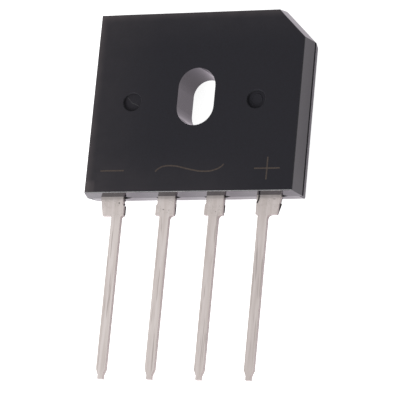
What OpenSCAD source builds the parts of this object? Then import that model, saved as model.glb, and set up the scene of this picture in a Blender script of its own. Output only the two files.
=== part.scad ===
// Single-phase bridge rectifier in a flat moulded case with four leads in a row.
// It lies on its mounting face: +Z points out of the marked face, +Y towards the end
// away from the leads, +X towards the clipped corner. The origin is the centre of the
// screw slot on the mounting face.

/* [Case] */
// Width of the case at the parting plane
body_w = 22.4; // [20:0.1:26]
// Slot centre to the top edge of the case at the parting plane
top_edge = 8.94; // [8:0.02:11]
// Slot centre to the lead edge of the case at the parting plane
lead_edge = 9.6; // [9:0.1:12]
// Thickness of the case
body_t = 3.42; // [3.2:0.02:4.4]
// Height of the parting plane above the mounting face
parting_z = 1.54; // [1.4:0.02:1.9]
// Draft of the front half on its two sides, in degrees
front_side_draft = 12.5; // [2:0.5:14]
// Draft of the front half on its top, in degrees
front_top_draft = 10.5; // [2:0.5:14]
// Draft of the front half on the clipped corner, in degrees
front_corner_draft = 9; // [2:0.5:14]
// Draft of the front half on the lead edge, in degrees
front_lead_draft = 2; // [0.5:0.5:5]
// Draft of the back half on its two sides, in degrees
back_side_draft = 14; // [2:0.5:15]
// Draft of the back half on its top and clipped corner, in degrees
back_draft = 11; // [2:0.5:14]
// Draft of the back half on the lead edge, in degrees
back_lead_draft = 5; // [0.5:0.5:8]
// Sideways slip of each mould half: the front half away from the clipped corner, the
// back half towards it, which leaves a step at the parting plane
mould_slip = 0.04; // [0.01:0.01:0.1]
// Leg of the clipped corner at the parting plane
corner_cut = 3.25; // [2:0.05:4]
// Radius of the edges round the two flat faces
edge_r = 0.12; // [0.05:0.01:0.25]

/* [Screw slot] */
// Width of the slot at the marked face
slot_w = 3.84; // [3:0.02:4.4]
// Length of the slot at the marked face
slot_l = 5.8; // [4.6:0.1:6.4]
// Draft of the slot's wall, in degrees
slot_draft = 3.7; // [1:0.1:6]

/* [Pin marks] */
// Diameter of the two round recesses left by the mould's pins
pin_d = 1.84; // [1:0.02:2.5]
// Depth of the recesses
pin_depth = 0.25; // [0.1:0.05:0.6]
// Width of the slope round the rim of each recess
pin_rim = 0.06; // [0.02:0.01:0.09]
// Distance between the recesses
pin_spacing = 12.94; // [11:0.1:14]
// Height of the recesses above the slot centre
pin_y = -0.4; // [-2:0.1:2]

/* [Leads] */
// Lead to lead distance
pitch = 5.08; // [4.9:0.01:5.3]
// Offset of the lead row and the pin marks from the middle of the case
row_shift = -0.2; // [-0.3:0.05:0.3]
// Width of a lead
lead_w = 0.97; // [0.8:0.01:1.27]
// Thickness of the lead frame's sheet
lead_t = 0.5; // [0.4:0.02:0.6]
// Length of a lead from the case to its tip
lead_l = 18.05; // [10:0.5:20]
// Width of a lead's tip
tip_w = 0.52; // [0.4:0.02:0.7]
// Length of the narrow tip
tip_l = 0.42; // [0.2:0.02:1]
// Length over which the lead narrows to its tip
tip_taper = 0.55; // [0.2:0.05:1.5]
// Length of the shoulders, from the case
shoulder_l = 1.88; // [1.2:0.05:2.4]
// How far an inner lead's shoulder stands out on each side
inner_shoulder = 0.47; // [0.3:0.01:0.6]
// How far an outer lead's shoulder stands out, away from the row, at the case
outer_shoulder = 1.28; // [0.9:0.02:1.4]
// How much that outer shoulder narrows towards its lower corner
outer_taper = 0.33; // [0.1:0.01:0.5]
// How far an outer lead's shoulder stands out towards the row
outer_inward = 0.24; // [0.2:0.01:0.4]
// Length of the slimmer neck between the case and the sheared tie-bar stub
neck_l = 0.75; // [0.4:0.05:0.9]
// How far the sheared tie-bar stub stands out past the neck
stub = 0.12; // [0.04:0.01:0.16]
// Inside corner radius on the left of each lead, under its shoulder
sharp_r = 0.12; // [0.05:0.01:0.2]
// Inside corner radius on the right of each lead, under its shoulder
round_r = 0.4; // [0.2:0.05:0.45]

/* [Lead frame inside] */
// How far the frame's plates are set down towards the mounting face
set_down = 0.55; // [0.4:0.05:0.65]
// Flat stretch of each lead inside the case, before it bends down
entry_l = 0.4; // [0.3:0.05:0.6]
// Resin between the plates and the case's outer walls
cover = 0.9; // [0.7:0.05:1.1]
// Resin between the plates and the screw slot
slot_cover = 0.9; // [0.7:0.05:1.1]
// Gap between neighbouring plates
plate_gap = 0.8; // [0.6:0.05:0.9]
// Diameter of the resin-locking holes in the plates
lock_d = 1; // [0.6:0.1:1.2]

/* [Diode chips] */
// Side of a chip
chip_w = 2.8; // [2.4:0.1:3]
// Thickness of a chip
chip_t = 0.28; // [0.2:0.02:0.35]
// Side of the raised contact on a chip
mesa_w = 2.2; // [1.8:0.1:2.3]
// Height of the raised contact
mesa_h = 0.1; // [0.05:0.01:0.15]
// Solder under and over each chip and under each clip's foot
solder_t = 0.05; // [0.03:0.01:0.08]

/* [Jumper clips] */
// Width of a clip
clip_w = 1.6; // [1.2:0.1:1.8]
// Thickness of a clip
clip_t = 0.25; // [0.15:0.01:0.3]
// Length of a clip's contact pad on the chip
clip_pad = 1.8; // [1.4:0.1:2]
// Length of a clip's foot on the plate
clip_foot = 1.3; // [1:0.1:1.4]
// Rise of a clip's bridge above its pad
clip_rise = 0.2; // [0.1:0.02:0.3]
// Gap between the two clips that share the minus plate
clip_gap = 0.65; // [0.4:0.05:0.7]

/* [Hidden] */
$fn = 64;
eps = 0.01;
far = 60;
arc_steps = 5;
root2 = sqrt(2);

// Lead row
lead_x = [for (i = [0:3]) (i - 1.5) * pitch + row_shift];
tip_y = -lead_edge - lead_l;
shoulder_y = -lead_edge - shoulder_l;
neck_y = -lead_edge - neck_l;
bend = 45;
bend_y = -lead_edge + entry_l;
plate_y = bend_y + set_down / tan(bend) + 0.2;

// Levels: leads, plates, chips and clips
plate_z = parting_z - set_down;
plate_top = plate_z + lead_t;
chip_z = plate_top + solder_t;
chip_top = chip_z + chip_t;
pad_z = chip_top + solder_t;
foot_z = plate_top + solder_t;

// Room for the plates
room_x = body_w / 2 - cover;
room_y = top_edge - cover;
slot_x = slot_w / 2 + slot_cover;
slot_y = slot_l / 2 + slot_cover;
corner_sum = body_w / 2 + top_edge - corner_cut;
chip_rim = 0.4;

// Plate edges
ac1_right = lead_x[1] + lead_w / 2 + inner_shoulder;
ac1_left = lead_x[1] - lead_w / 2 - inner_shoulder;
ac2_left = lead_x[2] - lead_w / 2 - inner_shoulder;
ac1_bottom = -slot_y - 1;
minus_top = ac1_bottom - plate_gap;
minus_right = ac1_left - plate_gap;
plus_left = room_x - chip_w - 2 * chip_rim;
ac2_right = plus_left - plate_gap;
arm_top = slot_y - plate_gap;

// Feet of clips 3 and 4 side by side on the minus plate, from its right edge
foot_4_x = minus_right - 0.25 - clip_foot / 2;
foot_3_x = foot_4_x - clip_foot / 2 - clip_gap - clip_w / 2;

// Chip centres: 1 and 2 on the plus plate, 3 and 4 on the two AC plates
chip_x = [-room_x + chip_w / 2 + chip_rim + 0.9,
          plus_left + chip_rim + chip_w / 2,
          foot_3_x,
          ac2_right - 0.3 - chip_w / 2];
chip_y = [(slot_y + room_y) / 2,
          pin_y,
          ac1_bottom + chip_rim + chip_w / 2,
          plate_y + 0.25 + chip_w / 2];

// Clip feet, one for each chip, and the way each clip runs from its chip
foot_x = [chip_x[0], slot_x + 0.3 + clip_foot / 2, foot_3_x, foot_4_x];
foot_y = [arm_top - 0.3 - clip_foot / 2, chip_y[1], minus_top - 0.35 - clip_foot / 2, chip_y[3]];
clip_turn = [-90, 180, -90, 180];
reach = [for (i = [0:3]) norm([foot_x[i] - chip_x[i], foot_y[i] - chip_y[i]])];

resin_colour = "#2e2e31";
tin_colour = "#c8c2be";
silicon_colour = "#5b6068";
copper_colour = "#b87348";
solder_colour = "#9aa0a3";

// Points of an arc, from angle a to angle b.
function arc(cx, cy, r, a, b) =
    [for (i = [0:arc_steps]) let (t = a + (b - a) * i / arc_steps) [cx + r * cos(t), cy + r * sin(t)]];

// Outline of one drafted wall of the case, from the mounting face up: e is how far the
// wall stands from the middle at the parting plane, and slip how far the back half moves
// out there as the front half moves in.
function wall(e, back, front, slip = 0) =
    let (eb = e + slip, ef = e - slip)
    concat(
        arc(eb - (parting_z - edge_r) * tan(back) - edge_r / cos(back), edge_r, edge_r, -90, -back),
        slip == 0 ? [[e, parting_z]] : [[eb, parting_z], [ef, parting_z]],
        arc(ef - (body_t - edge_r - parting_z) * tan(front) - edge_r / cos(front),
            body_t - edge_r, edge_r, front, 90));

function mirrored(points) = [for (i = [len(points) - 1:-1:0]) [-points[i][0], points[i][1]]];

// Outline of a strip of sheet, t thick, along the middle line given by the points.
function side_normal(a, b) = let (d = (b - a) / norm(b - a)) [-d[1], d[0]];
function mitre(p, i) =
    let (n = i == 0 ? side_normal(p[0], p[1]) : side_normal(p[i - 1], p[i]),
         m = i == len(p) - 1 ? n : side_normal(p[i], p[i + 1]),
         s = n + m)
    s * 2 / (s * s);
function strip(p, t) = concat(
    [for (i = [0:len(p) - 1]) p[i] + mitre(p, i) * t / 2],
    [for (i = [len(p) - 1:-1:0]) p[i] - mitre(p, i) * t / 2]);

// Edge of a lead from its tip up to the plates, seen from the marked face. s is the side,
// top and low are how far the shoulder stands out at the case and at its lower corner,
// neck is how much slimmer it is next to the case, and r is the corner under it.
function lead_side(s, top, low, neck, r) = [for (q = concat(
    [[tip_w / 2, tip_y], [tip_w / 2, tip_y + tip_l], [lead_w / 2, tip_y + tip_l + tip_taper]],
    arc(lead_w / 2 + min(r, low * 0.9), shoulder_y - min(r, low * 0.9), min(r, low * 0.9), 180, 90),
    [[lead_w / 2 + low, shoulder_y]],
    neck > 0 ? [[lead_w / 2 + low, neck_y - 0.15], [lead_w / 2 + top - neck, neck_y]] : [],
    [[lead_w / 2 + top - neck, -lead_edge], [lead_w / 2 + top - neck, plate_y + 0.3]]))
    [s * q[0], q[1]]];

module lead_outline(left, right) {
    polygon(concat(right, [for (i = [len(left) - 1:-1:0]) left[i]]));
}

module between(x0, x1, y0, y1) {
    translate([x0, y0]) square([x1 - x0, y1 - y0]);
}

// A piece of the lead frame: the stamped outline given as children, bent by one step.
module frame_piece(colour) {
    color(colour)
    intersection() {
        translate([0, 0, -eps]) linear_extrude(height = body_t) children();
        translate([-far / 2, 0, 0]) rotate([90, 0, 90]) linear_extrude(height = far)
            polygon(strip([[tip_y, parting_z + lead_t / 2],
                           [bend_y, parting_z + lead_t / 2],
                           [bend_y + set_down / tan(bend), plate_z + lead_t / 2],
                           [room_y, plate_z + lead_t / 2]], lead_t));
    }
}

module lead_minus() {
    frame_piece(tin_colour)
    difference() {
        union() {
            translate([lead_x[0], 0])
                lead_outline(lead_side(-1, outer_shoulder, outer_shoulder - outer_taper, 0, sharp_r),
                             lead_side(1, outer_inward, outer_inward, stub, round_r));
            between(-room_x, minus_right, plate_y, minus_top);
        }
        translate([-room_x + 0.9, (plate_y + minus_top) / 2]) circle(d = lock_d);
    }
}

module lead_ac_1() {
    frame_piece(tin_colour)
    difference() {
        union() {
            translate([lead_x[1], 0]) inner_lead_outline();
            between(ac1_left, ac1_right - stub, plate_y, -slot_y);
            between(-room_x, ac1_right - stub, ac1_bottom, -slot_y);
            between(-room_x, -slot_x, ac1_bottom, arm_top);
        }
        translate([-slot_x - 0.9, (ac1_bottom + arm_top) / 2]) circle(d = lock_d);
    }
}

module lead_ac_2() {
    frame_piece(tin_colour)
    difference() {
        union() {
            translate([lead_x[2], 0]) inner_lead_outline();
            between(ac2_left, ac2_right, plate_y, -slot_y);
            between(slot_x, ac2_right, -slot_y - 1, arm_top);
        }
        translate([(slot_x + ac2_right) / 2, -slot_y + 1.1]) circle(d = lock_d);
    }
}

module lead_plus() {
    frame_piece(tin_colour)
    difference() {
        intersection() {
            union() {
                translate([lead_x[3], 0])
                    lead_outline(lead_side(-1, outer_inward, outer_inward, 0, sharp_r),
                                 lead_side(1, outer_shoulder, outer_shoulder - outer_taper, 0, round_r));
                between(plus_left, room_x, plate_y, room_y);
                between(-room_x, room_x, slot_y, room_y);
            }
            rotate(45) translate([-far, -far / 2]) square([far + corner_sum / root2 - cover, far]);
        }
        translate([0, (slot_y + room_y) / 2]) circle(d = lock_d);
        translate([chip_x[1], (plate_y + chip_y[1]) / 2]) circle(d = lock_d);
        translate([chip_x[1], (slot_y + chip_y[1] + chip_w / 2) / 2]) circle(d = lock_d);
    }
}

module inner_lead_outline() {
    lead_outline(lead_side(-1, inner_shoulder, inner_shoulder, stub, sharp_r),
                 lead_side(1, inner_shoulder, inner_shoulder, 0, round_r));
}

// A flat square block, centred on the given place.
module tile(x, y, z, w, l, h) {
    translate([x - w / 2, y - l / 2, z]) cube([w, l, h]);
}

// A passivated diode chip, cathode down, with its anode contact raised on top.
module chip(i) {
    color(silicon_colour)
    union() {
        tile(chip_x[i], chip_y[i], chip_z, chip_w, chip_w, chip_t - mesa_h);
        tile(chip_x[i], chip_y[i], chip_z, mesa_w, mesa_w, chip_t);
    }
}

module die_solder(i) {
    color(solder_colour) tile(chip_x[i], chip_y[i], plate_top, chip_w, chip_w, solder_t);
}

module pad_solder(i) {
    side = min(mesa_w, clip_w, clip_pad);
    color(solder_colour) tile(chip_x[i], chip_y[i], chip_top, side, side, solder_t);
}

module foot_solder(i) {
    across = clip_turn[i] == 180;
    color(solder_colour)
        tile(foot_x[i], foot_y[i], plate_top, across ? clip_foot : clip_w, across ? clip_w : clip_foot, solder_t);
}

// A bent copper clip from the top of a chip to the plate that carries its foot.
module clip(i) {
    z = pad_z + clip_t / 2;
    low = foot_z + clip_t / 2;
    toe = reach[i] + clip_foot / 2;
    heel = reach[i] - clip_foot / 2;
    color(copper_colour)
    translate([chip_x[i], chip_y[i], 0]) rotate([0, 0, clip_turn[i]])
        translate([0, clip_w / 2, 0]) rotate([90, 0, 0]) linear_extrude(height = clip_w)
            polygon(strip([[-clip_pad / 2, z], [clip_pad / 2, z], [clip_pad / 2 + clip_rise, z + clip_rise],
                           [heel - (z + clip_rise - low), z + clip_rise], [heel, low], [toe, low]], clip_t));
}

// The slot's cutter: two half cones and the tapered block between them.
module slot_cutter() {
    run = (slot_l - slot_w) / 2;
    top = slot_w / 2 + tan(slot_draft);
    low = slot_w / 2 - (body_t + 1) * tan(slot_draft);
    section = [[0, -1], [low, -1], [top, body_t + 1], [0, body_t + 1]];
    translate([0, run, 0]) rotate_extrude(angle = 180) polygon(section);
    translate([0, -run, 0]) rotate([0, 0, 180]) rotate_extrude(angle = 180) polygon(section);
    translate([0, run, 0]) rotate([90, 0, 0]) linear_extrude(height = 2 * run)
        polygon([[-low, -1], [low, -1], [top, body_t + 1], [-top, body_t + 1]]);
}

// The cutter of a pin mark: a flat-bottomed recess with a sloping rim.
module pin_cutter() {
    r = pin_d / 2;
    rotate_extrude() polygon([[0, body_t - pin_depth], [r, body_t - pin_depth], [r, body_t - pin_rim],
                              [r + pin_rim + 1, body_t + 1], [0, body_t + 1]]);
}

// The moulded block: three drafted profiles, crossed.
module block() {
    clipped_side = wall(body_w / 2, back_side_draft, front_side_draft, mould_slip);
    plain_side = wall(body_w / 2, back_side_draft, front_side_draft, -mould_slip);
    top_wall = wall(top_edge, back_draft, front_top_draft);
    lead_wall = wall(lead_edge, back_lead_draft, front_lead_draft);
    cut = wall(corner_sum / root2, back_draft, front_corner_draft);
    intersection() {
        translate([0, far / 2, 0]) rotate([90, 0, 0]) linear_extrude(height = far)
            polygon(concat(clipped_side, mirrored(plain_side)));
        translate([-far / 2, 0, 0]) rotate([90, 0, 90]) linear_extrude(height = far)
            polygon(concat(top_wall, mirrored(lead_wall)));
        rotate([0, 0, 45]) translate([0, far / 2, 0]) rotate([90, 0, 0]) linear_extrude(height = far)
            polygon(concat(cut, [[-far, body_t], [-far, 0]]));
    }
}

module inner_pieces() {
    lead_minus();
    lead_ac_1();
    lead_ac_2();
    lead_plus();
    for (i = [0:3]) {
        chip(i);
        clip(i);
        die_solder(i);
        pad_solder(i);
        foot_solder(i);
    }
}

// The resin case, moulded round the lead frame, the chips and the clips.
module case() {
    color(resin_colour)
    difference() {
        block();
        slot_cutter();
        for (s = [-1, 1]) translate([row_shift + s * pin_spacing / 2, pin_y, 0]) pin_cutter();
        inner_pieces();
    }
}

case();
lead_minus();
lead_ac_1();
lead_ac_2();
lead_plus();
chip(0);  // chip_1
chip(1);  // chip_2
chip(2);  // chip_3
chip(3);  // chip_4
clip(0);  // clip_1
clip(1);  // clip_2
clip(2);  // clip_3
clip(3);  // clip_4
die_solder(0);  // die_solder_1
die_solder(1);  // die_solder_2
die_solder(2);  // die_solder_3
die_solder(3);  // die_solder_4
pad_solder(0);  // pad_solder_1
pad_solder(1);  // pad_solder_2
pad_solder(2);  // pad_solder_3
pad_solder(3);  // pad_solder_4
foot_solder(0);  // foot_solder_1
foot_solder(1);  // foot_solder_2
foot_solder(2);  // foot_solder_3
foot_solder(3);  // foot_solder_4
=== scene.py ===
# A single-phase bridge rectifier in a flat moulded case, lying on its mounting face.
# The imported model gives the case, the leads and what they hold; this script adds the
# finish of each surface, the marks, the moulding flash, the stage and the light.

import math

import bmesh
import bpy
from mathutils import Matrix, Vector


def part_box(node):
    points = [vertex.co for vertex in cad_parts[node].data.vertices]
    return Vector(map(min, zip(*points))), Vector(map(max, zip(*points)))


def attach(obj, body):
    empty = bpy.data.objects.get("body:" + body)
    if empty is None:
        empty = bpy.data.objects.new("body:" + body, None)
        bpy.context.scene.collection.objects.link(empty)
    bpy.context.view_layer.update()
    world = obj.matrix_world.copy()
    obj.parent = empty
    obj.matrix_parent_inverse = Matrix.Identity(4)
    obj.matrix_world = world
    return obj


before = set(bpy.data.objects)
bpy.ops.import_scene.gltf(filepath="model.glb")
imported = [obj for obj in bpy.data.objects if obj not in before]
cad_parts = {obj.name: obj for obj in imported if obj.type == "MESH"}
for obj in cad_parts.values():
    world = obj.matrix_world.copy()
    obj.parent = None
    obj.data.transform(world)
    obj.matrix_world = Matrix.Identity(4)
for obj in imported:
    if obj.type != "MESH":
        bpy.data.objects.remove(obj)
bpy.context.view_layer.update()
mm = 0.001

# --- Camera -------------------------------------------------------------------------
# A long lens from the lower right of the marked face, far enough back that the leads
# stay almost parallel. It is square on to nothing: the lead edge and the side with the
# clipped corner both show.

camera = bpy.data.objects.new("camera", bpy.data.cameras.new("camera"))
bpy.context.scene.collection.objects.link(camera)
bpy.context.scene.camera = camera
camera.data.sensor_width = 36
camera.data.lens = 282
camera.data.clip_start = 0.01
camera.location = (0.11566, -0.08505, 0.26996)
camera.rotation_mode = "ZYX"
camera.rotation_euler = [math.radians(a) for a in (15.646, 22.422, -0.689)]
bpy.context.scene.view_settings.view_transform = "Standard"


# --- Stage and light ----------------------------------------------------------------
# A sheet of white card under the part, and a white tent round it. The tent is a little
# darker low on the lead side, where the camera looks in, and a soft box stands past the
# corner of the first lead, so that the walls which face away from it see a darker card.

def srgb(code):
    """An sRGB hex colour as linear red, green, blue and alpha."""
    parts = [int(code[i:i + 2], 16) / 255 for i in (1, 3, 5)]
    return [c / 12.92 if c <= 0.04045 else ((c + 0.055) / 1.055) ** 2.4 for c in parts] + [1]


def add(tree, kind, inputs=None, **settings):
    """Adds a node with its settings. An input takes a value, or the socket linked to it."""
    made = tree.nodes.new(kind)
    for name, value in settings.items():
        setattr(made, name, value)
    for key, value in (inputs or {}).items():
        if isinstance(value, bpy.types.NodeSocket):
            tree.links.new(value, made.inputs[key])
        else:
            made.inputs[key].default_value = value
    return made


# The card: what it gives back, how much it glows to the camera, in mirrors, and in mirrors
# under the slot, where the part keeps the tent's light off it.
card_size = 3.0
card_gap = 0.02 * mm
card_white = 0.8
card_glow_seen = 0.85
card_glow_mirrored = 0.6
card_glow_under_slot = 0.95
under_slot_full = 3.0 * mm
under_slot_fade = 4.0 * mm
# The camera sees the card white; in mirrors it glows this pale violet, a painted violet tint on
# the walls that mirror it.
card_tint = "#fff2ff"
white = (1, 1, 1, 1)

card_mesh = bmesh.new()
bmesh.ops.create_grid(card_mesh, x_segments=1, y_segments=1, size=card_size / 2)
bmesh.ops.translate(card_mesh, verts=card_mesh.verts, vec=(0, 0, -card_gap))
card = bpy.data.objects.new("white_card", bpy.data.meshes.new("white_card"))
card_mesh.to_mesh(card.data)
card_mesh.free()
bpy.context.scene.collection.objects.link(card)

card_finish = bpy.data.materials.new("matt_white_card")
card_finish.use_nodes = True
tree = card_finish.node_tree
tree.nodes.clear()
rays = add(tree, "ShaderNodeLightPath")
to_camera = rays.outputs["Is Camera Ray"]
mirrored = add(tree, "ShaderNodeMath", {0: rays.outputs["Is Glossy Ray"],
                                        1: rays.outputs["Is Transmission Ray"]},
               operation="MAXIMUM")
seen = add(tree, "ShaderNodeMath", {0: to_camera, 1: card_glow_seen}, operation="MULTIPLY")
place = add(tree, "ShaderNodeTexCoord").outputs["Object"]
from_slot = add(tree, "ShaderNodeVectorMath", {0: place}, operation="LENGTH")
under = add(tree, "ShaderNodeMapRange", {"Value": from_slot.outputs["Value"],
                                         "From Min": under_slot_fade, "From Max": under_slot_full,
                                         "To Min": card_glow_mirrored,
                                         "To Max": card_glow_under_slot},
            interpolation_type="SMOOTHSTEP")
strength = add(tree, "ShaderNodeMath", {0: mirrored.outputs[0], 1: under.outputs[0],
                                        2: seen.outputs[0]}, operation="MULTIPLY_ADD")
tint = add(tree, "ShaderNodeMix", {"Factor": to_camera, "A": srgb(card_tint), "B": white},
           data_type="RGBA")
glow = add(tree, "ShaderNodeEmission", {"Color": tint.outputs["Result"],
                                        "Strength": strength.outputs[0]})
paper = add(tree, "ShaderNodeBsdfDiffuse", {"Color": (card_white, card_white, card_white, 1)})
both = add(tree, "ShaderNodeAddShader", {0: paper.outputs[0], 1: glow.outputs[0]})
add(tree, "ShaderNodeOutputMaterial", {"Surface": both.outputs[0]})
card.data.materials.append(card_finish)

# The soft box, past the corner of the minus lead.
lamp_place = Vector((-0.12, -0.26, 0.14))
lamp_size = 0.25
lamp_power = 1.2

lamp = bpy.data.objects.new("soft_box", bpy.data.lights.new("soft_box", "AREA"))
lamp.data.shape = "DISK"
lamp.data.size = lamp_size
lamp.data.energy = lamp_power
lamp.location = lamp_place
lamp.rotation_euler = lamp_place.to_track_quat("Z", "Y").to_euler()
bpy.context.scene.collection.objects.link(lamp)

# The tent: white behind the part, darker low in front, with a brighter panel in its roof
# that the flat faces mirror to the camera.
tent_white = 0.6
tent_front = 0.34
tent_turn = (-0.6, 0.45)
panel_white = 0.9
panel_way = (-0.38, 0.28, 0.88)
panel_full = math.radians(16)
panel_fade = math.radians(34)

tent = bpy.data.worlds.new("white_tent")
bpy.context.scene.world = tent
tent.use_nodes = True
tree = tent.node_tree
tree.nodes.clear()
toward = add(tree, "ShaderNodeTexCoord").outputs["Generated"]
direction = add(tree, "ShaderNodeSeparateXYZ", {0: toward})
sides = add(tree, "ShaderNodeMapRange", {"Value": direction.outputs["Y"],
                                         "From Min": tent_turn[0], "From Max": tent_turn[1],
                                         "To Min": tent_front, "To Max": tent_white},
            interpolation_type="SMOOTHSTEP")
off_axis = add(tree, "ShaderNodeVectorMath", {0: toward, 1: panel_way}, operation="DOT_PRODUCT")
panel = add(tree, "ShaderNodeMapRange", {"Value": off_axis.outputs["Value"],
                                         "From Min": math.cos(panel_fade),
                                         "From Max": math.cos(panel_full)},
            interpolation_type="SMOOTHSTEP")
shade = add(tree, "ShaderNodeMix", {"Factor": panel.outputs[0], "A": sides.outputs[0],
                                    "B": panel_white}, data_type="FLOAT")
rays = add(tree, "ShaderNodeLightPath")
in_view = add(tree, "ShaderNodeMix", {"Factor": rays.outputs["Is Camera Ray"],
                                      "A": shade.outputs["Result"], "B": 1.0}, data_type="FLOAT")
sky = add(tree, "ShaderNodeBackground", {"Color": white, "Strength": in_view.outputs[0]})
add(tree, "ShaderNodeOutputWorld", {"Surface": sky.outputs[0]})


# --- Case ---------------------------------------------------------------------------
# One block of black epoxy moulding compound, filled with fine silica, pressed round the
# lead frame in a two-part mould. The marked face has the spark-eroded grain of the mould;
# the drafted walls and the slot were polished so that the block lets go, and shine.

def finish(name):
    """A new material with a Principled shader: the material, its tree and the shader."""
    made = bpy.data.materials.new(name)
    made.use_nodes = True
    made.node_tree.nodes.clear()
    shader = add(made.node_tree, "ShaderNodeBsdfPrincipled")
    add(made.node_tree, "ShaderNodeOutputMaterial", {"Surface": shader.outputs[0]})
    return made, made.node_tree, shader


def dress(node_names, material):
    """Gives CAD nodes their finish."""
    for name in node_names:
        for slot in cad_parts[name].material_slots:
            slot.material = material


def ramp(tree, value, low, high, out_low=0.0, out_high=1.0):
    """Runs from out_low to out_high, with soft ends, as the value goes from low to high."""
    return add(tree, "ShaderNodeMapRange", {"Value": value, "From Min": low, "From Max": high,
                                            "To Min": out_low, "To Max": out_high},
               interpolation_type="SMOOTHSTEP").outputs[0]


def times(tree, first, second):
    """Two values, or a value and a number, multiplied."""
    return add(tree, "ShaderNodeMath", {0: first, 1: second}, operation="MULTIPLY").outputs[0]


face_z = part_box("case")[1].z
parting_z = 1.54 * mm
side_x = 10.75 * mm
face_left, face_top, face_bottom = -10.83 * mm, 8.6 * mm, -9.53 * mm
pin_x = (-6.67 * mm, 6.27 * mm)
pin_y = -0.4 * mm
pin_reach = 0.99 * mm
grain_size = 0.16 * mm
cloud_size = 1.6 * mm
grain_depth = 0.01 * mm
polished, dull_side, spark_eroded = 0.07, 0.46, 0.97

# Black with a hint of violet: dull on the marked face, a dark mirror on the walls.
epoxy, tree, shader = finish("moulded_black_epoxy")
place = add(tree, "ShaderNodeTexCoord").outputs["Object"]
spot = add(tree, "ShaderNodeSeparateXYZ", {0: place})
x, y, z = (spot.outputs[axis] for axis in "XYZ")
grain = add(tree, "ShaderNodeTexNoise", {"Vector": place, "Scale": 1 / grain_size, "Detail": 3.0,
                                         "Roughness": 0.6}).outputs["Fac"]
clouds = add(tree, "ShaderNodeTexNoise", {"Vector": place, "Scale": 1 / cloud_size,
                                          "Detail": 3.0}).outputs["Fac"]

# The marked face, and in it the floors of the two pin marks, are the rough part.
on_face = ramp(tree, z, face_z - 0.02 * mm, face_z - 0.005 * mm)
to_pins = [add(tree, "ShaderNodeVectorMath", {0: place, 1: (pin, pin_y, face_z)},
               operation="DISTANCE").outputs["Value"] for pin in pin_x]
nearest = add(tree, "ShaderNodeMath", dict(enumerate(to_pins)), operation="MINIMUM").outputs[0]
in_pin = ramp(tree, nearest, pin_reach, pin_reach - 0.03 * mm)
matt = add(tree, "ShaderNodeMath", {0: on_face, 1: in_pin}, operation="MAXIMUM").outputs[0]

# The back half's two sides are duller than the other walls.
across = add(tree, "ShaderNodeMath", {0: x}, operation="ABSOLUTE").outputs[0]
at_side = ramp(tree, across, side_x, side_x + 0.05 * mm)
low_half = ramp(tree, z, parting_z, parting_z - 0.02 * mm)
wall_rough = add(tree, "ShaderNodeMapRange", {"Value": times(tree, at_side, low_half),
                                              "To Min": polished, "To Max": dull_side}).outputs[0]
rough = add(tree, "ShaderNodeMix", {"Factor": matt, "A": wall_rough, "B": spark_eroded},
            data_type="FLOAT")

# Painted highlight: the marked face is painted grey in a narrow and a wide band in from the left
# and top edges, a wide one over the lead end, and a patch in the corner by the minus lead,
# standing in for glare and light from the lower left.
left_band = ramp(tree, x, face_left + 0.95 * mm, face_left - 0.5 * mm, 0.0, 0.85)
left_third = ramp(tree, x, face_left + 8.0 * mm, face_left - 2.0 * mm, 0.0, 0.2)
top_band = ramp(tree, y, face_top - 0.9 * mm, face_top + 0.4 * mm, 0.0, 0.6)
top_third = ramp(tree, y, face_top - 4.0 * mm, face_top + 1.0 * mm, 0.0, 0.15)
lead_end = times(tree, ramp(tree, y, face_bottom + 5.0 * mm, face_bottom - 1.0 * mm, 0.0, 0.15),
                 ramp(tree, x, 9.0 * mm, 0.0))
corner = times(tree, ramp(tree, x, face_left + 1.1 * mm, face_left + 0.9 * mm, 0.0, 0.3),
               ramp(tree, y, face_bottom + 1.4 * mm, face_bottom + 1.0 * mm))
painted_glare = left_band
for more in (left_third, top_band, top_third, lead_end, corner):
    painted_glare = add(tree, "ShaderNodeMath", {0: painted_glare, 1: more}, operation="ADD").outputs[0]
painted_glare = times(tree, times(tree, painted_glare, ramp(tree, clouds, 0.25, 0.75, 0.8, 1.2)), matt)
colour = add(tree, "ShaderNodeMix", {"Factor": ramp(tree, grain, 0.3, 0.7), "A": srgb("#070411"),
                                     "B": srgb("#0b0a17")}, data_type="RGBA")
# Painted highlight: the face is mixed towards a lit grey by the painted glare.
colour = add(tree, "ShaderNodeMix", {"Factor": painted_glare, "A": colour.outputs["Result"],
                                     "B": srgb("#453f41")}, data_type="RGBA")
bump = add(tree, "ShaderNodeBump", {"Height": grain, "Distance": grain_depth, "Strength": 0.4})
tree.links.new(colour.outputs["Result"], shader.inputs["Base Color"])
tree.links.new(rough.outputs["Result"], shader.inputs["Roughness"])
tree.links.new(bump.outputs[0], shader.inputs["Normal"])
shader.inputs["IOR"].default_value = 1.62
dress(["case"], epoxy)


# --- Laser marks --------------------------------------------------------------------
# The signs of the four leads, burnt into the marked face by a laser: minus, a wave for
# the two AC leads, and plus. The burnt resin is a dull brown grey.

stroke = 0.14 * mm
mark_top = 0.004 * mm
mark_sunk = 0.004 * mm
speckle_size = 0.1 * mm
minus_from, minus_to, minus_y = -9.3 * mm, -6.83 * mm, -7.35 * mm
plus_centre = Vector((8.02, -7.33, 0)) * mm
plus_half_w, plus_half_h = 1.3 * mm, 1.12 * mm

# The wave as the laser draws it: where it starts, then the length and heading of each step.
wave_start = Vector((-3.53, -7.5, 0)) * mm
wave_steps = [(0.24, 44), (0.26, 39), (0.34, 27), (0.43, 10), (0.42, 2), (0.42, -4), (0.42, -9),
              (0.44, -14), (0.45, -15), (0.43, -12), (0.43, -12), (0.43, -10), (0.42, -6),
              (0.42, -1), (0.42, 4), (0.42, 13), (0.43, 20), (0.24, 31), (0.26, 38), (0.18, 53)]


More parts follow.
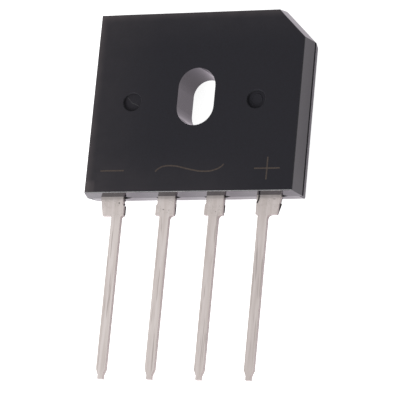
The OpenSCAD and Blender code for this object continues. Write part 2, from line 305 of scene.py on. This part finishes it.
def piece(name, work, material):
    """Turns a bmesh into an object of the part, with its place in the mesh."""
    bmesh.ops.recalc_face_normals(work, faces=work.faces)
    made = bpy.data.objects.new(name, bpy.data.meshes.new(name))
    work.to_mesh(made.data)
    work.free()
    made.data.materials.append(material)
    bpy.context.scene.collection.objects.link(made)
    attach(made, "root")
    return made


def raise_sheet(work, height):
    """Extrudes a flat sheet upwards into a closed plate."""
    grown = bmesh.ops.extrude_face_region(work, geom=work.faces[:])["geom"]
    top = [v for v in grown if isinstance(v, bmesh.types.BMVert)]
    bmesh.ops.translate(work, verts=top, vec=(0, 0, height))


def extend(work, edge, step):
    """Extrudes an edge by one step: the new edge and its two ends."""
    grown = bmesh.ops.extrude_edge_only(work, edges=[edge])["geom"]
    ends = [v for v in grown if isinstance(v, bmesh.types.BMVert)]
    bmesh.ops.translate(work, verts=ends, vec=step)
    return next(e for e in ends[0].link_edges if e.other_vert(ends[0]) == ends[1]), ends


# A dull brown grey line, a little speckled.
burnt, tree, shader = finish("laser_burnt_epoxy")
place = add(tree, "ShaderNodeTexCoord").outputs["Object"]
speckle = add(tree, "ShaderNodeTexNoise", {"Vector": place, "Scale": 1 / speckle_size,
                                           "Detail": 2.0}).outputs["Fac"]
colour = add(tree, "ShaderNodeMix", {"Factor": ramp(tree, speckle, 0.35, 0.65),
                                     "A": srgb("#3b322e"), "B": srgb("#4a413b")}, data_type="RGBA")
tree.links.new(colour.outputs["Result"], shader.inputs["Base Color"])
shader.inputs["Roughness"].default_value = 0.95

mark_z = face_z - mark_sunk
mark_t = mark_sunk + mark_top

work = bmesh.new()
bmesh.ops.create_cube(work, size=1,
                      matrix=Matrix.Translation(((minus_from + minus_to) / 2, minus_y,
                                                 mark_z + mark_t / 2))
                      @ Matrix.Diagonal((minus_to - minus_from, stroke, mark_t, 1)))
piece("minus_mark", work, burnt)

work = bmesh.new()
bmesh.ops.create_grid(work, x_segments=1, y_segments=1, size=stroke / 2)
for side in work.edges[:]:
    way = (side.verts[0].co + side.verts[1].co).normalized()
    reach = plus_half_w if abs(way.x) > 0.5 else plus_half_h
    extend(work, side, way * (reach - stroke / 2))
raise_sheet(work, mark_t)
bmesh.ops.translate(work, verts=work.verts, vec=plus_centre + Vector((0, 0, mark_z)))
piece("plus_mark", work, burnt)

work = bmesh.new()
heading = wave_steps[0][1]
start = [work.verts.new((0, side * stroke / 2, mark_z)) for side in (-1, 1)]
edge = work.edges.new(start)
bmesh.ops.rotate(work, verts=start, cent=(0, 0, 0),
                 matrix=Matrix.Rotation(math.radians(heading), 3, "Z"))
bmesh.ops.translate(work, verts=start, vec=wave_start)
for (length, turn), (_, after) in zip(wave_steps, wave_steps[1:] + wave_steps[-1:]):
    way = Vector((math.cos(math.radians(turn)), math.sin(math.radians(turn)), 0))
    edge, ends = extend(work, edge, way * length * mm)
    between = (turn + after) / 2
    bmesh.ops.rotate(work, verts=ends, cent=(ends[0].co + ends[1].co) / 2,
                     matrix=Matrix.Rotation(math.radians(between - heading), 3, "Z"))
    heading = between
raise_sheet(work, mark_t)
piece("wave_mark", work, burnt)


# --- Leads --------------------------------------------------------------------------
# Four leads stamped from half-millimetre copper sheet in one frame and sheared apart
# after moulding. Outside the case they are dipped in matt tin, which runs lengthwise.

leads = ["lead_minus", "lead_ac_1", "lead_ac_2", "lead_plus"]
case_end = -9.6 * mm
shoulder_end = -11.48 * mm
lead_top = 2.04 * mm
spangle_size, blotch_size = 0.12 * mm, 0.6 * mm
streak_size, score_size = 0.35 * mm, 0.13 * mm
streak_stretch, score_stretch = 0.06, 0.035
spangle_depth = 0.004 * mm

# Warm silver grey, half mirror and half matt.
tin, tree, shader = finish("tinned_copper_lead")
place = add(tree, "ShaderNodeTexCoord").outputs["Object"]
spot = add(tree, "ShaderNodeSeparateXYZ", {0: place})
x, y, z = (spot.outputs[axis] for axis in "XYZ")
normal = add(tree, "ShaderNodeNewGeometry").outputs["True Normal"]
facing = add(tree, "ShaderNodeSeparateXYZ", {0: normal})
spangle = add(tree, "ShaderNodeTexNoise", {"Vector": place, "Scale": 1 / spangle_size,
                                           "Detail": 2.0}).outputs["Fac"]
blotch = add(tree, "ShaderNodeTexNoise", {"Vector": place, "Scale": 1 / blotch_size,
                                          "Detail": 3.0}).outputs["Fac"]
drawn = add(tree, "ShaderNodeMapping", {"Vector": place,
                                        "Scale": (1, streak_stretch, 1)}).outputs[0]
streaks = add(tree, "ShaderNodeTexNoise", {"Vector": drawn, "Scale": 1 / streak_size,
                                           "Detail": 3.0, "Roughness": 0.55}).outputs["Fac"]
scored = add(tree, "ShaderNodeMapping", {"Vector": place,
                                         "Scale": (1, score_stretch, 1)}).outputs[0]
scores = add(tree, "ShaderNodeTexNoise", {"Vector": scored, "Scale": 1 / score_size,
                                          "Detail": 1.0}).outputs["Fac"]


def stain(tree, share, under, code):
    """Mixes a colour, given as a hex code, over another by its share."""
    return add(tree, "ShaderNodeMix", {"Factor": share, "A": under, "B": srgb(code)},
               data_type="RGBA").outputs["Result"]


# Along the drawn length the tin is streaked, and scored here and there; the shoulders,
# where the tie bar was sheared off, are grainy instead.
on_shoulder = ramp(tree, y, shoulder_end - 0.4 * mm, shoulder_end + 0.3 * mm)
off_shoulder = add(tree, "ShaderNodeMath", {0: 1.0, 1: on_shoulder},
                   operation="SUBTRACT").outputs[0]
plated = stain(tree, ramp(tree, streaks, 0.3, 0.7), srgb("#cac0bc"), "#dad1ce")
score = times(tree, ramp(tree, scores, 0.6, 0.7, 0.0, 0.75), off_shoulder)
plated = stain(tree, score, plated, "#a39995")
grainy = times(tree, ramp(tree, spangle, 0.42, 0.68, 0.0, 0.5),
               times(tree, on_shoulder, ramp(tree, blotch, 0.42, 0.6)))
plated = stain(tree, grainy, plated, "#a8a29c")

# Next to the case the tin is lighter, and towards the plus lead it is darker.
by_case = ramp(tree, y, case_end - 0.5 * mm, case_end - 0.2 * mm, 0.0, 0.35)
plated = stain(tree, by_case, plated, "#e8dfdd")
darker_to_plus = ramp(tree, x, -9.0 * mm, 9.0 * mm, 0.0, 0.22)
plated = stain(tree, darker_to_plus, plated, "#9f9491")

# The upright sides are darker than the tops, by the way they face, and a broken skin of resin
# clings to their lower edge.
upright = add(tree, "ShaderNodeMath", {0: facing.outputs["Z"]}, operation="ABSOLUTE").outputs[0]
darker_sides = add(tree, "ShaderNodeMix", {"Factor": upright, "A": srgb("#aca19c"), "B": plated},
              data_type="RGBA").outputs["Result"]
skin = times(tree, ramp(tree, z, parting_z + 0.17 * mm, parting_z + 0.1 * mm),
             ramp(tree, facing.outputs["X"], 0.4, 0.5))
skin = times(tree, skin, times(tree, ramp(tree, y, shoulder_end - 0.1 * mm, shoulder_end),
                               ramp(tree, blotch, 0.4, 0.46)))
colour = stain(tree, skin, darker_sides, "#2a2625")
rough = add(tree, "ShaderNodeMapRange", {"Value": spangle, "From Min": 0.3, "From Max": 0.7,
                                         "To Min": 0.18, "To Max": 0.26}).outputs[0]
bump = add(tree, "ShaderNodeBump", {"Height": spangle, "Distance": spangle_depth,
                                    "Strength": 0.5})
tree.links.new(colour, shader.inputs["Base Color"])
tree.links.new(rough, shader.inputs["Roughness"])
tree.links.new(bump.outputs[0], shader.inputs["Normal"])
shader.inputs["Metallic"].default_value = 0.55
dress(leads, tin)


# --- Moulding flash -----------------------------------------------------------------
# Resin squeezed out beside the leads where the mould halves met: a small wedge on each
# side of each lead, a broken skin on the sheared edges of the shoulders, and one curl
# left standing along the plus lead.

# Each wedge starts at the side of its lead and runs out to a point.
wedge_proud, wedge_high, wedge_tip = 0.13 * mm, 0.2 * mm, 0.08
wedge_lift = 0.06 * mm
wedges = [(-9.4, -0.3), (-7.22, 0.72), (-3.58, -0.34), (-1.91, 0.56),
          (1.5, -0.4), (3.17, 0.6), (6.82, -0.34), (9.06, 0.6)]

# Each strip of skin: its place across the row, where it starts and ends, and its lean.
skin_proud, skin_high = 0.09 * mm, 0.1 * mm
skins = [(-7.21, -9.78, -9.95, 0), (-7.2, -10.2, -10.33, 0), (-7.09, -10.45, -11.35, 0),
         (-1.9, -9.8, -9.92, 0), (-1.8, -10.3, -11.3, 0),
         (3.17, -9.85, -10.0, 0), (3.29, -10.45, -11.2, 0),
         (9.06, -9.75, -9.95, 0), (8.98, -10.35, -11.3, -16)]

curl = [(6.93, -9.62), (6.93, -9.8), (6.9, -10.09), (6.76, -10.39)]
curl_w, curl_t, curl_z = 0.11 * mm, 0.07 * mm, 2.02 * mm

# Dull black, as the resin is where no mould wall polished it.
flash, tree, shader = finish("black_resin_flash")
shader.inputs["Base Color"].default_value = srgb("#0b0a0a")
shader.inputs["Roughness"].default_value = 0.6

work = bmesh.new()
for lead_side, run in wedges:
    middle = Vector(((lead_side + run / 2) * mm, case_end, parting_z + wedge_lift))
    bmesh.ops.create_cone(work, cap_ends=True, segments=8, radius1=1, radius2=wedge_tip, depth=1,
                          matrix=Matrix.Translation(middle)
                          @ Matrix.Diagonal((abs(run) * mm, wedge_proud, wedge_high, 1))
                          @ Matrix.Rotation(math.copysign(math.pi / 2, run), 4, "Y"))
piece("flash_wedges", work, flash)

work = bmesh.new()
for across_row, start, end, lean in skins:
    middle = Vector((across_row * mm, (start + end) / 2 * mm, parting_z + skin_high / 2))
    bmesh.ops.create_cube(work, size=1,
                          matrix=Matrix.Translation(middle)
                          @ Matrix.Rotation(math.radians(lean), 4, "Z")
                          @ Matrix.Diagonal((skin_proud, (start - end) * mm, skin_high, 1)))
piece("flash_skins", work, flash)


def lay_strip(work, line, z, spread, height):
    """A closed strip along a line in millimetres. Spread is half its width, as a vector."""
    points = [Vector((across, along, 0)) * mm for across, along in line]
    start = [work.verts.new(points[0] + side * spread + Vector((0, 0, z))) for side in (-1, 1)]
    edge = work.edges.new(start)
    for here, there in zip(points, points[1:]):
        edge, ends = extend(work, edge, there - here)
    raise_sheet(work, height)


work = bmesh.new()
lay_strip(work, curl, curl_z, Vector((curl_w / 2, 0, 0)), curl_t)
piece("flash_curl", work, flash)


# --- Resin specks -------------------------------------------------------------------
# Specks of resin and dirt that the tin bath left on the shoulders: thin round flakes,
# given by their place, width and length.

specks = [(-7.6, -10.22, 0.11, 0.2), (-2.88, -10.92, 0.17, 0.09), (8.5, -10.0, 0.3, 0.06),
          (-2.3, -10.98, 0.1, 0.07), (2.6, -11.2, 0.1, 0.08)]
speck_t = 0.01 * mm

# Dull dark grey.
dirt, tree, shader = finish("grey_resin_speck")
shader.inputs["Base Color"].default_value = srgb("#3f3937")
shader.inputs["Roughness"].default_value = 0.8

work = bmesh.new()
for across_row, along, wide, long in specks:
    middle = Vector((across_row * mm, along * mm, lead_top + speck_t / 4))
    bmesh.ops.create_cone(work, cap_ends=True, segments=12, radius1=0.5, radius2=0.4, depth=1,
                          matrix=Matrix.Translation(middle)
                          @ Matrix.Diagonal((wide * mm, long * mm, speck_t, 1)))
piece("shoulder_specks", work, dirt)


# --- Pin mark details ---------------------------------------------------------------
# The right-hand pin left a raised ring on the floor of its recess, and the left-hand
# recess was scratched after moulding.

pin_floor = face_z - 0.25 * mm
ring_r, ring_w = 0.56 * mm, 0.07 * mm
scratch = [(-7.31, 0.12), (-7.05, -0.12), (-6.93, -0.28), (-6.75, -0.47), (-6.37, -0.6),
           (-6.02, -0.8)]
scratch_w, scratch_t = 0.05 * mm, 0.004 * mm

# The scratch is a dull grey line.
worn, tree, shader = finish("scratched_epoxy")
shader.inputs["Base Color"].default_value = srgb("#3d3c3e")
shader.inputs["Roughness"].default_value = 0.7

work = bmesh.new()
bmesh.ops.create_circle(work, segments=10, radius=ring_w / 2,
                        matrix=Matrix.Translation((ring_r, 0, 0))
                        @ Matrix.Rotation(math.pi / 2, 4, "X"))
bmesh.ops.spin(work, geom=work.edges[:], cent=(0, 0, 0), axis=(0, 0, 1), angle=math.tau,
               steps=48, use_merge=True)
bmesh.ops.translate(work, verts=work.verts, vec=(pin_x[1], pin_y, pin_floor))
piece("pin_mark_ring", work, epoxy)

work = bmesh.new()
lay_strip(work, scratch, pin_floor, Vector((0, scratch_w / 2, 0)), scratch_t)
piece("pin_mark_scratch", work, worn)


# --- Chips, clips and solder --------------------------------------------------------
# Four silicon chips soldered to the plates of the lead frame, each joined to the next
# plate by a bent copper clip. The case hides them all.

# Grey and glossy silicon, pinkish bare copper, and soft grey solder.
silicon, tree, shader = finish("silicon_chip")
shader.inputs["Base Color"].default_value = srgb("#4b5058")
shader.inputs["Roughness"].default_value = 0.2

copper, tree, shader = finish("bare_copper_clip")
shader.inputs["Base Color"].default_value = srgb("#c98d6c")
shader.inputs["Metallic"].default_value = 1.0
shader.inputs["Roughness"].default_value = 0.3

solder, tree, shader = finish("high_lead_solder")
shader.inputs["Base Color"].default_value = srgb("#8f8f92")
shader.inputs["Metallic"].default_value = 1.0
shader.inputs["Roughness"].default_value = 0.35

for i in "1234":
    dress(["chip_" + i], silicon)
    dress(["clip_" + i], copper)
    dress(["die_solder_" + i, "pad_solder_" + i, "foot_solder_" + i], solder)
